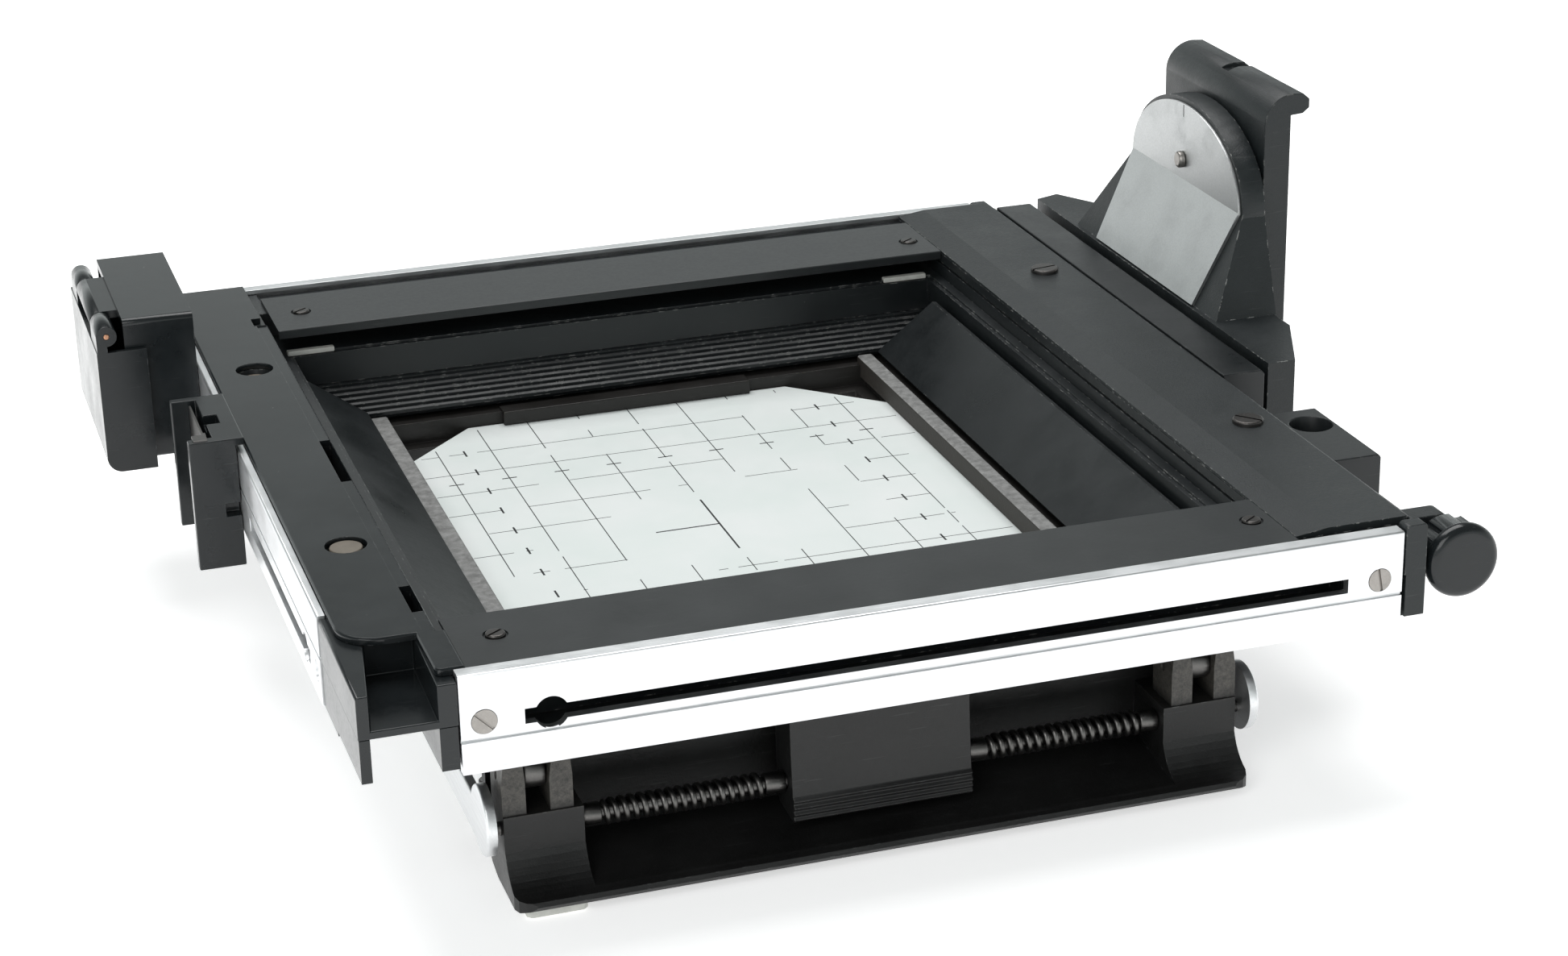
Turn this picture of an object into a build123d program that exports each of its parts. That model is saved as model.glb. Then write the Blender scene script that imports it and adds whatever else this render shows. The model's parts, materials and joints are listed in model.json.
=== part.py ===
"""View-camera rear standard with a sprung ground-glass back for sheet film holders.

Millimetres, +Z up. Origin: middle of the light opening, on the lens-side face of the ground glass.
+X runs along the slotted rails towards the tilt bracket, +Y away from the bail bar.
"""
import os
from math import cos, radians, sin

from build123d import *

os.makedirs("parts", exist_ok=True)

# Frame
RAIL_TOP = 23.0
RAIL_BOTTOM = 5.7
FRONT_Y = -104.0
BACK_Y = 104.0
RAIL_X0 = -75.5
RAIL_X1 = 89.9
RAIL_DEPTH = 3.0
RAIL_WALL = 1.8
SLOT_Z = 14.4
SLOT_HEIGHT = 2.6
LEFT_X = -92.0
COVER_TOP = 23.3
OPEN_X0 = -74.8
OPEN_X1 = 72.0
OPEN_Y = 87.5
PLATE_SCREWS = ((-66.0, -89.6), (68.0, -89.6), (-66.6, 84.0), (67.6, 82.2))
COVER_SCREWS = ((86.6, 49.8), (87.4, -47.6))
PLUG_YS = (50.2, -45.4)

# Light path
SEAT_X0 = -70.4
SEAT_X1 = 69.0
SEAT_Y = 74.0
SEAT_TOP = 17.0
SEAT_BOTTOM = 9.7
TRAP_Y = 66.0
RIB_COUNT = 7

# Ground glass and its carrier
GLASS_X0 = -55.0
GLASS_X1 = 50.4
GLASS_HALF_Y = 63.4
GLASS_THICK = 2.0
GLASS_CORNER = 18.0
BAR_TOP = 4.4
CARRIER_X0 = -58.4
CARRIER_X1 = 57.4
CARRIER_TOP = 2.5
CARRIER_BOTTOM = -5.5
POST_X = 62.0
POST_YS = (-64.0, 52.0)
POST_R = 2.0

# Bail
PIVOT_Y = 76.0
PIVOT_Z = -13.0
AXLE_Y = -85.5
AXLE_Z = -14.5
AXLE_R = 1.2
ARM_X0 = 68.0
ARM_BLIND = 69.0
ROLLER_Y = -84.6
ROLLER_Z = -5.0
ARM_X1 = 69.8
BLOCK_IN = 52.6
BLOCK_OUT = 66.4
BASE_Z = -27.0
RUN = 0.05

# Tilt bracket
TILT_X = 108.0
TILT_Z = 11.0
TILT_R = 2.0
ARCH_MID_Y = 40.0
SWING_Y = 40.8
ARCH_X0 = 114.5
ARCH_X1 = 119.5
SWING_Z = 47.5
SWING_R = 1.5

# Rod clamp
ROD_X = 100.8
ROD_Y = -47.0
ROD_R = 4.05
KNOB_X = 102.1
KNOB_Z = 15.3
KNOB_R = 6.8
STUD_R = 2.0

# Hinged box
HINGE_X = -109.4
HINGE_Z = 31.5
KNUCKLE_R = 2.05

CUT = Mode.SUBTRACT


def save(piece, label):
    """Name a finished piece and write its STEP file."""
    piece.part.label = label
    export_step(piece.part, f"parts/{label}.step")


def block(x0, x1, y0, y1, z0, z1, mode=Mode.ADD):
    """A box between six planes."""
    with Locations(((x0 + x1) / 2, (y0 + y1) / 2, (z0 + z1) / 2)):
        Box(x1 - x0, y1 - y0, z1 - z0, mode=mode)


def rod_x(x0, x1, y, z, radius, mode=Mode.ADD):
    """A cylinder along X."""
    with Locations(Location(((x0 + x1) / 2, y, z), (0, 90, 0))):
        Cylinder(radius, x1 - x0, mode=mode)


def rod_y(y0, y1, x, z, radius, mode=Mode.ADD):
    """A cylinder along Y."""
    with Locations(Location((x, (y0 + y1) / 2, z), (90, 0, 0))):
        Cylinder(radius, y1 - y0, mode=mode)


def rod_z(z0, z1, x, y, radius, mode=Mode.ADD):
    """A cylinder along Z."""
    with Locations((x, y, (z0 + z1) / 2)):
        Cylinder(radius, z1 - z0, mode=mode)


def plate_z(points, z0, z1, mode=Mode.ADD):
    """A straight prism along Z over an outline of (x, y) points."""
    with BuildSketch(Plane.XY.offset(z0)) as outline:
        with BuildLine():
            Polyline(*points, close=True)
        make_face()
    extrude(outline.sketch, amount=z1 - z0, mode=mode)


def prism_x(points, x0, x1, mode=Mode.ADD):
    """A straight prism along X over an outline of (y, z) points."""
    with BuildSketch(Plane.YZ.offset(x0)) as outline:
        with BuildLine():
            Polyline(*points, close=True)
        make_face()
    extrude(outline.sketch, amount=x1 - x0, mode=mode)


def prism_y(points, y0, y1, mode=Mode.ADD):
    """A straight prism along Y over an outline of (x, z) points."""
    with BuildSketch(Plane.XZ.offset(-y1)) as outline:
        with BuildLine():
            Polyline(*points, close=True)
        make_face()
    extrude(outline.sketch, amount=y1 - y0, mode=mode)


def screw_slot(x, y, z, axis, length, angle):
    """Driver slot across a screw head whose face is at (x, y, z)."""
    turn = {"z": (0, 0, angle), "y": (0, angle, 0), "x": (angle, 0, 0)}[axis]
    with Locations(Location((x, y, z), turn)):
        if axis == "z":
            Box(length, 0.5, 0.8, mode=CUT)
        elif axis == "y":
            Box(length, 0.8, 0.5, mode=CUT)
        else:
            Box(0.8, length, 0.5, mode=CUT)


def coil(x0, x1, y, z, radius, wire, turns):
    """A round-wire spring along X."""
    with BuildLine() as path:
        Helix(pitch=(x1 - x0) / turns, height=x1 - x0, radius=radius, center=(x0, y, z), direction=(1, 0, 0))
    start = path.line @ 0
    along = path.line % 0
    with BuildSketch(Plane(origin=start, z_dir=along)) as section:
        Circle(wire / 2)
    sweep(section.sketch, path=path.line)


# ---------------------------------------------------------------- frame

with BuildPart() as main_frame:
    block(LEFT_X + 1.6, 92.4, -100.9, 100.9, RAIL_BOTTOM, 22.0)
    block(LEFT_X + 1.6, RAIL_X0 - 0.2, 100.8, BACK_Y - 0.1, RAIL_BOTTOM, 22.0)
    block(OPEN_X0, OPEN_X1, -OPEN_Y, OPEN_Y, 0, 30, mode=CUT)
    # Room for the two-part end cap at the front left corner
    block(-95, RAIL_X0 - 0.1, -110, -71.9, 0, 30, mode=CUT)
    # Deep grooves behind the keyhole slots of the rails
    block(-67, 80, -101, -96.5, 11, 18, mode=CUT)
    block(-67, 80, 96.5, 101, 11, 18, mode=CUT)
    # Wells under the cover's round holes and long slots
    for well_y in PLUG_YS:
        rod_z(16, 23, -81.9, well_y, 3.65, mode=CUT)
    block(-77.2, -75.0, -15.5, 6.6, 14, 23, mode=CUT)
    block(-77.2, -75.0, -77.2, -65.8, 17, 23, mode=CUT)
    # Shallow line run along the inner right wall
    block(71.9, 72.6, -80, 80, 19.6, 20.2, mode=CUT)
    # Light seats for the top plates
    block(-73.3, 71.9, 95.6, 101, 21.4, 23, mode=CUT)
    for side_y in (-97.6, 97.6):
        for screw_x in (-71.6, 85.6):
            rod_y(side_y - 3.4, side_y + 3.4, screw_x, 14.6, 1.0, mode=CUT)
    for screw_x, screw_y in COVER_SCREWS:
        rod_z(19, 23, screw_x, screw_y, 1.3, mode=CUT)
    for screw_x, screw_y in PLATE_SCREWS:
        rod_z(19, 23, screw_x, screw_y, 0.9, mode=CUT)
save(main_frame, "main_frame")


def slotted_rail(side):
    """Aluminium edge rail: face, turned-in lips, keyhole slot and fine grooves."""
    face = FRONT_Y if side < 0 else BACK_Y
    back = face - side * RAIL_WALL
    lip = face - side * RAIL_DEPTH
    low, high = min(face, back), max(face, back)
    lip_low, lip_high = min(face, lip), max(face, lip)
    block(RAIL_X0, RAIL_X1, low, high, RAIL_BOTTOM, RAIL_TOP)
    block(RAIL_X0, RAIL_X1, lip_low, lip_high, RAIL_TOP - 0.9, RAIL_TOP)
    block(RAIL_X0 + 8, RAIL_X1 - 8, low, high, SLOT_Z - SLOT_HEIGHT / 2, SLOT_Z + SLOT_HEIGHT / 2, mode=CUT)
    block(RAIL_X0, RAIL_X0 + 10.5, low, high, SLOT_Z - 2, SLOT_Z + 2)
    block(RAIL_X1 - 10.3, RAIL_X1, low, high, SLOT_Z - 2, SLOT_Z + 2)
    rod_y(low - 1, high + 1, RAIL_X0 + 14.9, SLOT_Z, 2.8, mode=CUT)
    # Groove where the face meets its lower skirt, and the fine line under the lip
    groove = face - side * 0.5
    block(RAIL_X0, RAIL_X1, min(face, groove) - 0.01, max(face, groove) + 0.01, 11.2, 11.8, mode=CUT)
    for screw_x in (-71.6, 85.6):
        rod_y(low - 1, high + 1, screw_x, 14.6, 1.05, mode=CUT)
        head_seat = face - side * 0.7
        rod_y(min(face, head_seat) - 0.01, max(face, head_seat) + 0.01, screw_x, 14.6, 2.15, mode=CUT)


with BuildPart() as front_rail:
    slotted_rail(-1)
    fillet(front_rail.edges().filter_by(Axis.X).group_by(Axis.Z)[-1].sort_by(Axis.Y)[0], 0.35)
save(front_rail, "front_rail")

with BuildPart() as back_rail:
    slotted_rail(1)
    fillet(back_rail.edges().filter_by(Axis.X).group_by(Axis.Z)[-1].sort_by(Axis.Y)[-1], 0.35)
save(back_rail, "back_rail")

with BuildPart() as left_rail:
    block(LEFT_X, LEFT_X + 1.5, -71.8, 103.8, 6.2, 22.5)
    block(LEFT_X, LEFT_X + 1.5, -71.8, 103.8, 14.7, 15.1, mode=CUT)
    block(LEFT_X + 0.4, LEFT_X + 1.5, -71.8, 103.8, 14.5, 15.3)
    block(LEFT_X - 1, LEFT_X + 2, -62, 0, 9.6, 12.2, mode=CUT)
    rod_x(LEFT_X - 1, LEFT_X + 2, -57.5, 10.9, 2.6, mode=CUT)
    rod_x(LEFT_X - 1, LEFT_X + 0.9, -68.2, 11.2, 1.9, mode=CUT)
    fillet(left_rail.edges().filter_by(Axis.Y).group_by(Axis.Z)[-1].sort_by(Axis.X)[0], 0.5)
save(left_rail, "left_rail")

with BuildPart() as front_plate:
    block(-73.4, 71.8, -100.7, -80.5, 22.05, 22.75)
    for screw_x, screw_y in PLATE_SCREWS[:2]:
        rod_z(21, 24, screw_x, screw_y, 1.0, mode=CUT)
        rod_z(22.35, 24, screw_x, screw_y, 2.1, mode=CUT)
    fillet(front_plate.edges().filter_by(Axis.X).group_by(Axis.Z)[-1], 0.25)
save(front_plate, "front_plate")

with BuildPart() as back_plate:
    block(-73.2, 71.8, 73.0, 95.5, 22.05, 22.75)
    block(-73.2, 71.8, 73.0, 73.9, 20.9, 22.75)
    for screw_x, screw_y in PLATE_SCREWS[2:]:
        rod_z(21, 24, screw_x, screw_y, 1.0, mode=CUT)
        rod_z(22.35, 24, screw_x, screw_y, 2.1, mode=CUT)
    fillet(back_plate.edges().filter_by(Axis.X).group_by(Axis.Z)[-1], 0.25)
save(back_plate, "back_plate")

with BuildPart() as left_cover:
    # Full width behind the pocket, then a narrow strip beside the front plate
    block(-90.4, -74.9, -85.8, 103.9, 22.05, COVER_TOP)
    block(-78.3, -73.5, -100.9, -85.8, 22.05, COVER_TOP)
    fillet(left_cover.edges().filter_by(Axis.Z).sort_by_distance((-90.4, -85.8, 22.5))[0], 7.0)
    fillet(left_cover.edges().filter_by(Axis.Z).sort_by_distance((-78.3, -100.9, 22.5))[0], 1.2)
    chamfer(left_cover.faces().filter_by(Axis.Z).sort_by(Axis.Z)[-1].outer_wire().edges(), 0.3)
    block(-75.6, -74.8, 81, 110, 20, 25, mode=CUT)
    block(-77.6, -74.8, 76.5, 81.2, 20, 25, mode=CUT)
    for hole_y in PLUG_YS:
        rod_z(20, 25, -81.9, hole_y, 3.7, mode=CUT)
    block(-77.1, -75.1, -15.4, 6.5, 20, 25, mode=CUT)
    block(-77.1, -75.1, -77.0, -65.9, 20, 25, mode=CUT)
    # Shallow step along the inner edge, in line with the slots
    block(-77.1, -75.1, -85.0, 76.4, 23.05, 25, mode=CUT)
save(left_cover, "left_cover")

with BuildPart() as right_cover:
    prism_y(
        [
            (72.05, 22.05),
            (72.05, 22.6),
            (78.2, 23.4),
            (93.2, 23.4),
            (93.9, 22.9),
            (93.9, 22.05),
        ],
        -98.6,
        100.9,
    )
    for screw_x, screw_y in COVER_SCREWS:
        rod_z(21, 26, screw_x, screw_y, 1.3, mode=CUT)
    fillet(right_cover.edges().filter_by(Axis.Z).sort_by_distance((93.9, -98.6, 22.5))[0], 1.5)
save(right_cover, "right_cover")

with BuildPart() as right_side_strip:
    block(92.5, 94.5, -98.9, 98.9, 5.9, 21.9)
    block(94.0, 94.5, -98.9, 98.9, 21.8, 22.6)
    # Lug that carries the thumbscrew
    block(94.0, 105.4, -91.6, -87.0, 11.0, 19.4)
    rod_y(-95, -85, KNOB_X, KNOB_Z, STUD_R + RUN, mode=CUT)
    fillet(right_side_strip.edges().filter_by(Axis.Y).sort_by_distance((105.4, -89, 19.4))[0], 1.5)
save(right_side_strip, "right_side_strip")


def right_end_cap(side):
    """End cap of the right side member with its downward leg."""
    y0, y1 = (FRONT_Y, -99.0) if side < 0 else (99.0, BACK_Y)
    y_mid = -101.0 if side < 0 else 101.0
    block(90.3, 94.4, min(y_mid, y0 if side < 0 else y1), max(y_mid, y0 if side < 0 else y1), 14.7, 23.9)
    block(90.6, 94.1, min(y_mid, y0 if side < 0 else y1), max(y_mid, y0 if side < 0 else y1), 6.9, 14.8)
    block(92.5, 94.4, y0, y1, 6.9, 22.0)


with BuildPart() as right_end_cap_front:
    right_end_cap(-1)
    fillet(right_end_cap_front.edges().filter_by(Axis.Y).group_by(Axis.Z)[-1], 0.8)
save(right_end_cap_front, "right_end_cap_front")

with BuildPart() as right_end_cap_back:
    right_end_cap(1)
    block(90, 95, 98, 105, 22.9, 24.5, mode=CUT)
    fillet(right_end_cap_back.edges().filter_by(Axis.Y).group_by(Axis.Z)[-1], 0.8)
save(right_end_cap_back, "right_end_cap_back")

with BuildPart() as left_end_cap:
    block(-91.8, -75.6, FRONT_Y, -72.0, 14.5, 22.0)
    # Tapered pocket, open at the front and the top
    plate_z([(-89.8, -110), (-79.0, -110), (-78.4, -83.6), (-86.6, -83.6), (-89.8, -104)], 15.9, 30, mode=CUT)
    fillet(left_end_cap.edges().filter_by(Axis.Y).group_by(Axis.Z)[-1].sort_by(Axis.X)[0], 0.5)
    # Room under the cover's near slot
    block(-77.2, -75.5, -77.2, -71.9, 17, 23, mode=CUT)
save(left_end_cap, "left_end_cap")

with BuildPart() as left_end_foot:
    block(-91.7, -75.7, -84.0, -72.0, 6.2, 14.4)
    block(-91.7, -89.9, FRONT_Y + 0.2, -84.0, 6.9, 14.4)
    block(-78.8, -75.8, FRONT_Y + 0.2, -84.0, 6.9, 14.4)
save(left_end_foot, "left_end_foot")

# ---------------------------------------------------------------- light path

with BuildPart() as seat_frame:
    block(OPEN_X0 + 0.1, OPEN_X1 - 0.1, -OPEN_Y + 0.1, OPEN_Y - 0.1, SEAT_BOTTOM, SEAT_TOP)
    block(SEAT_X0, SEAT_X1, -SEAT_Y, SEAT_Y, 0, 30, mode=CUT)
    # Fine ledge line around the lip
    block(SEAT_X0 - 0.8, SEAT_X1 + 0.8, -SEAT_Y - 0.8, SEAT_Y + 0.8, SEAT_TOP - 0.5, SEAT_TOP + 1, mode=CUT)
    # Seats of the pale corner tabs
    for tab_x in (-66.6, 64.0):
        for side_y in (-1, 1):
            block(
                tab_x - 5.0,
                tab_x + 5.0,
                min(side_y * 73, side_y * 76.6),
                max(side_y * 73, side_y * 76.6),
                SEAT_TOP - 0.6,
                SEAT_TOP + 1,
                mode=CUT,
            )
save(seat_frame, "seat_frame")

with BuildPart() as corner_tabs:
    for tab_x in (-66.6, 64.0):
        for side_y in (-1, 1):
            block(
                tab_x - 4.9,
                tab_x + 4.9,
                min(side_y * 74.5, side_y * 76.1),
                max(side_y * 74.5, side_y * 76.1),
                SEAT_TOP - 0.6,
                SEAT_TOP + 0.5,
            )
save(corner_tabs, "corner_tabs")

with BuildPart() as light_trap_right:
    prism_y(
        [
            (67.0, 14.0),
            (67.9, 14.0),
            (67.9, 9.5),
            (71.9, 9.5),
            (71.9, 5.8),
            (57.4, 5.8),
            (55.0, 3.6),
            (54.3, 4.2),
        ],
        -TRAP_Y + 0.1,
        TRAP_Y - 0.1,
    )
save(light_trap_right, "light_trap_right")

with BuildPart() as light_trap_left:
    prism_y(
        [
            (-69.4, 14.0),
            (-70.3, 14.0),
            (-70.3, 9.5),
            (-74.7, 9.5),
            (-74.7, 5.8),
            (-58.9, 5.8),
            (-57.7, 4.6),
            (-57.1, 5.1),
        ],
        -TRAP_Y + 0.1,
        TRAP_Y - 0.1,
    )
save(light_trap_left, "light_trap_left")


def ribbed_trap(side):
    """Sloped wall across the frame whose face carries fine ribs along X."""
    top = (74.5, 9.5)
    low = (66.0, 4.2)
    outline = [top]
    for rib in range(RIB_COUNT):
        start = rib / RIB_COUNT
        for share, lift in ((0.15, 0.0), (0.35, 0.55), (0.75, 0.55), (0.95, 0.0)):
            t = start + share / RIB_COUNT
            y = top[0] + (low[0] - top[0]) * t - 0.53 * lift
            z = top[1] + (low[1] - top[1]) * t + 0.85 * lift
            outline.append((y, z))
    outline += [low, (66.6, 3.3), (70.5, 5.8), (OPEN_Y - 0.2, 5.8), (OPEN_Y - 0.2, 9.5)]
    prism_x([(side * y, z) for y, z in outline], OPEN_X0 + 0.1, OPEN_X1 - 0.1)


with BuildPart() as light_trap_back:
    ribbed_trap(1)
save(light_trap_back, "light_trap_back")

with BuildPart() as light_trap_front:
    ribbed_trap(-1)
save(light_trap_front, "light_trap_front")

# ---------------------------------------------------------------- sprung back

with BuildPart() as rear_frame:
    block(-66.0, 66.0, -78.0, 82.0, -1.0, 5.6)
    block(-59.0, 58.0, -90.0, 73.0, -5.0, 10.0, mode=CUT)
    # Relief under the lip of the left light trap
    block(-62.0, -58.0, -80.0, 73.0, 3.3, 6.0, mode=CUT)
    # Relief for the lower edges of the light traps
    for side in (-1, 1):
        block(-67, 67, min(side * 65.5, side * 71), max(side * 65.5, side * 71), 3.1, 6, mode=CUT)
    for post_x in (-POST_X, POST_X):
        for post_y in POST_YS:
            rod_z(-2, 3.2, post_x, post_y, POST_R, mode=CUT)
    chamfer(rear_frame.edges().filter_by(Axis.Z).group_by(Axis.Y)[-1], 2.0)
save(rear_frame, "rear_frame")

with BuildPart() as guide_posts:
    for post_x in (-POST_X, POST_X):
        for post_y in POST_YS:
            rod_z(-24.0, 3.1, post_x, post_y, POST_R)
            rod_z(-25.2, -24.0, post_x, post_y, 3.4)
save(guide_posts, "guide_posts")

with BuildPart() as carrier_springs:
    for post_x in (-POST_X, POST_X):
        for post_y in POST_YS:
            with BuildLine(Plane.XY.offset(-23.6).move(Location((post_x, post_y, 0)))) as coil_path:
                Helix(pitch=17.3 / 6, height=17.3, radius=2.75)
            coil_start = coil_path.line @ 0
            coil_along = coil_path.line % 0
            with BuildSketch(Plane(origin=coil_start, z_dir=coil_along)) as coil_section:
                Circle(0.32)
            sweep(coil_section.sketch, path=coil_path.line)
save(carrier_springs, "carrier_springs")

with BuildPart() as glass_carrier:
    block(CARRIER_X0, CARRIER_X1, -72.0, 71.8, CARRIER_BOTTOM, CARRIER_TOP)
    # Rebate for the glass and the window under it
    block(GLASS_X0 - 0.2, GLASS_X1 + 0.2, -GLASS_HALF_Y - 0.2, GLASS_HALF_Y + 0.2, -2.0, 10, mode=CUT)
    block(GLASS_X0 + 3, GLASS_X1 - 3, -60.2, 60.2, -10, 10, mode=CUT)
    # Ears that slide on the guide posts, and the lugs the bail lifts
    for ear_x in (-1, 1):
        for post_y in POST_YS:
            block(min(ear_x * 57, ear_x * 65.8), max(ear_x * 57, ear_x * 65.8), post_y - 5, post_y + 5, -5.5, -1.6)
            rod_z(-7, 3, ear_x * POST_X, post_y, POST_R + RUN, mode=CUT)
        block(min(ear_x * 57, ear_x * 65.8), max(ear_x * 57, ear_x * 65.8), -6.5, 6.5, -5.5, -1.6)
        block(min(ear_x * 60.6, ear_x * 65.8), max(ear_x * 60.6, ear_x * 65.8), -6.5, 6.5, -17.6, -5.4)
        block(min(ear_x * 60, ear_x * 66), max(ear_x * 60, ear_x * 66), -4.4, 4.4, -15.2, -10.8, mode=CUT)
save(glass_carrier, "glass_carrier")

with BuildPart() as ground_glass:
    block(GLASS_X0, GLASS_X1, -GLASS_HALF_Y, GLASS_HALF_Y, -GLASS_THICK, 0)
    chamfer(ground_glass.edges().filter_by(Axis.Z), GLASS_CORNER)
save(ground_glass, "ground_glass")

with BuildPart() as glass_bar_left:
    block(-57.2, -53.5, -65.0, 64.6, CARRIER_TOP, BAR_TOP)
    block(-54.9, -53.5, -62.8, 62.8, 0.02, CARRIER_TOP + 0.1)
    chamfer(glass_bar_left.edges().filter_by(Axis.Y).group_by(Axis.Z)[-1], 0.3)
save(glass_bar_left, "glass_bar_left")

with BuildPart() as glass_bar_right:
    block(49.3, 52.7, -65.0, 64.6, CARRIER_TOP, BAR_TOP)
    block(49.3, 50.3, -62.8, 62.8, 0.02, CARRIER_TOP + 0.1)
    chamfer(glass_bar_right.edges().filter_by(Axis.Y).group_by(Axis.Z)[-1], 0.3)
save(glass_bar_right, "glass_bar_right")

with BuildPart() as glass_clips:
    # Thin strips over the short edges of the glass
    for side in (-1, 1):
        block(-29.6, 24.1, min(side * 61.6, side * 66), max(side * 61.6, side * 66), CARRIER_TOP, CARRIER_TOP + 0.5)
        block(-29.6, 24.1, min(side * 61.6, side * 62.9), max(side * 61.6, side * 62.9), 0.02, CARRIER_TOP + 0.1)
save(glass_clips, "glass_clips")

# ---------------------------------------------------------------- bail


def lip_arc(y0, z0, y1, z1, sag, steps):
    """Points of a hollow curve from one point to another, bulging inwards by sag."""
    points = []
    for step in range(1, steps):
        t = step / steps
        dip = sag * 4 * t * (1 - t)
        length = ((y1 - y0) ** 2 + (z1 - z0) ** 2) ** 0.5
        normal_y = -(z1 - z0) / length
        normal_z = (y1 - y0) / length
        points.append((y0 + (y1 - y0) * t + normal_y * dip, z0 + (z1 - z0) * t + normal_z * dip))
    return points


with BuildPart() as bail_bar:
    prism_x(
        [(-73.5, -1.5), (-73.5, -17.0), (-74.6, -21.0), (-78.0, -24.4), (-82.0, -25.5), (-95.4, -25.5), (-96.6, -25.0)]
        + [(-97.1, -24.2), (-96.7, -23.4)]
        + lip_arc(-96.7, -23.4, -89.0, -17.6, -1.6, 8)
        + [(-89.0, -17.6), (-89.0, -11.0), (-76.2, -11.0), (-76.2, -1.5)],
        -BLOCK_OUT,
        BLOCK_OUT,
    )
    # Hollow between the two end blocks
    prism_x(
        [(-76.2, 2.0), (-76.2, -18.0), (-78.5, -20.8), (-83.0, -21.8)]
        + lip_arc(-83.0, -21.8, -96.0, -23.1, 0.4, 4)
        + [(-96.0, -23.1), (-100.0, -23.1), (-100.0, 2.0)],
        -BLOCK_IN,
        BLOCK_IN,
        mode=CUT,
    )
    # Fork prongs on each end block
    for side in (-1, 1):
        for inner, outer in ((54.2, 58.2), (62.3, 66.4)):
            block(
                min(side * inner, side * outer),
                max(side * inner, side * outer),
                -88.6,
                -80.6,
                -12.0,
                0.4,
            )
    rod_x(-BLOCK_OUT - 1, BLOCK_OUT + 1, AXLE_Y, AXLE_Z, AXLE_R, mode=CUT)
    rod_x(-BLOCK_OUT - 1, -BLOCK_IN + 1, ROLLER_Y, ROLLER_Z, 0.8, mode=CUT)
    rod_x(BLOCK_IN - 1, BLOCK_OUT + 1, ROLLER_Y, ROLLER_Z, 0.8, mode=CUT)
    # Rounded ends of the lip and tapered prong tips
    for side in (-1, 1):
        corner = [(66.6, -98), (66.6, -93.4), (65.9, -95.3), (64.8, -96.4), (63.2, -97.0), (62.8, -98)]
        plate_z([(side * x, y) for x, y in corner], -30, -18, mode=CUT)
        for inner, outer in ((54.2, 58.2), (62.3, 66.4)):
            taper = [(outer - 0.9, 1.0), (outer + 0.1, -6.0), (outer + 0.1, 1.0)]
            prism_y([(side * x, z) for x, z in taper], -90, -80, mode=CUT)
            taper = [(inner + 0.5, 1.0), (inner - 0.1, -6.0), (inner - 0.1, 1.0)]
            prism_y([(side * x, z) for x, z in taper], -90, -80, mode=CUT)
save(bail_bar, "bail_bar")

with BuildPart() as bail_foot:
    block(-64.6, -54.0, -95.3, -87.0, BASE_Z, -25.5)
    chamfer(bail_foot.edges().filter_by(Axis.Z), 0.8)
save(bail_foot, "bail_foot")


def bail_arm(side):
    """Flat side arm with a round front boss and a round pivot eye."""
    low, high = min(side * ARM_X0, side * ARM_X1), max(side * ARM_X0, side * ARM_X1)
    blind = side * ARM_BLIND
    prism_x([(AXLE_Y, -17.6), (PIVOT_Y, -17.6), (PIVOT_Y, -9.0), (AXLE_Y, -10.0)], low, high)
    rod_x(low, high, AXLE_Y, -12.4, 6.2)
    rod_x(low, high, PIVOT_Y, PIVOT_Z, 5.6)
    rod_x(low - 1, high + 1, PIVOT_Y, PIVOT_Z, TILT_R + RUN, mode=CUT)
    rod_x(min(0, blind), max(0, blind), AXLE_Y, AXLE_Z, AXLE_R, mode=CUT)
    rod_x(min(0, blind), max(0, blind), 0, PIVOT_Z, 1.4, mode=CUT)


with BuildPart() as bail_arm_left:
    bail_arm(-1)
    fillet(bail_arm_left.faces().sort_by(Axis.X)[0].outer_wire().edges(), 0.5)
save(bail_arm_left, "bail_arm_left")

with BuildPart() as bail_arm_right:
    bail_arm(1)
    fillet(bail_arm_right.faces().sort_by(Axis.X)[-1].outer_wire().edges(), 0.5)
save(bail_arm_right, "bail_arm_right")

with BuildPart() as bail_axle:
    rod_x(-ARM_BLIND, ARM_BLIND, AXLE_Y, AXLE_Z, AXLE_R)
save(bail_axle, "bail_axle")

with BuildPart() as spring_left:
    coil(-48.6, -20.8, AXLE_Y, AXLE_Z, 1.78, 1.05, 16.5)
save(spring_left, "spring_left")

with BuildPart() as spring_right:
    coil(20.8, 48.6, AXLE_Y, AXLE_Z, 1.78, 1.05, 16.5)
save(spring_right, "spring_right")

with BuildPart() as axle_sleeves:
    for x0, x1 in ((-52.5, -49.1), (-20.3, -16.6), (16.6, 20.3), (49.1, 52.5)):
        rod_x(x0, x1, AXLE_Y, AXLE_Z, 1.9)
        rod_x(x0 - 1, x1 + 1, AXLE_Y, AXLE_Z, AXLE_R, mode=CUT)
save(axle_sleeves, "axle_sleeves")

with BuildPart() as release_grip:
    prism_x(
        [
            (-80.2, -0.6),
            (-80.6, -18.6),
            (-82.0, -20.2),
            (-89.6, -20.6),
            (-90.4, -20.0),
            (-90.0, -19.4),
            (-90.5, -18.9),
            (-90.0, -18.3),
            (-90.5, -17.7),
            (-89.9, -17.1),
            (-90.3, -16.5),
            (-89.6, -15.9),
            (-88.9, -8.0),
            (-88.6, -0.6),
        ],
        -16.3,
        16.3,
    )
    rod_x(-20, 20, AXLE_Y, AXLE_Z, AXLE_R + RUN, mode=CUT)
save(release_grip, "release_grip")

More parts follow.
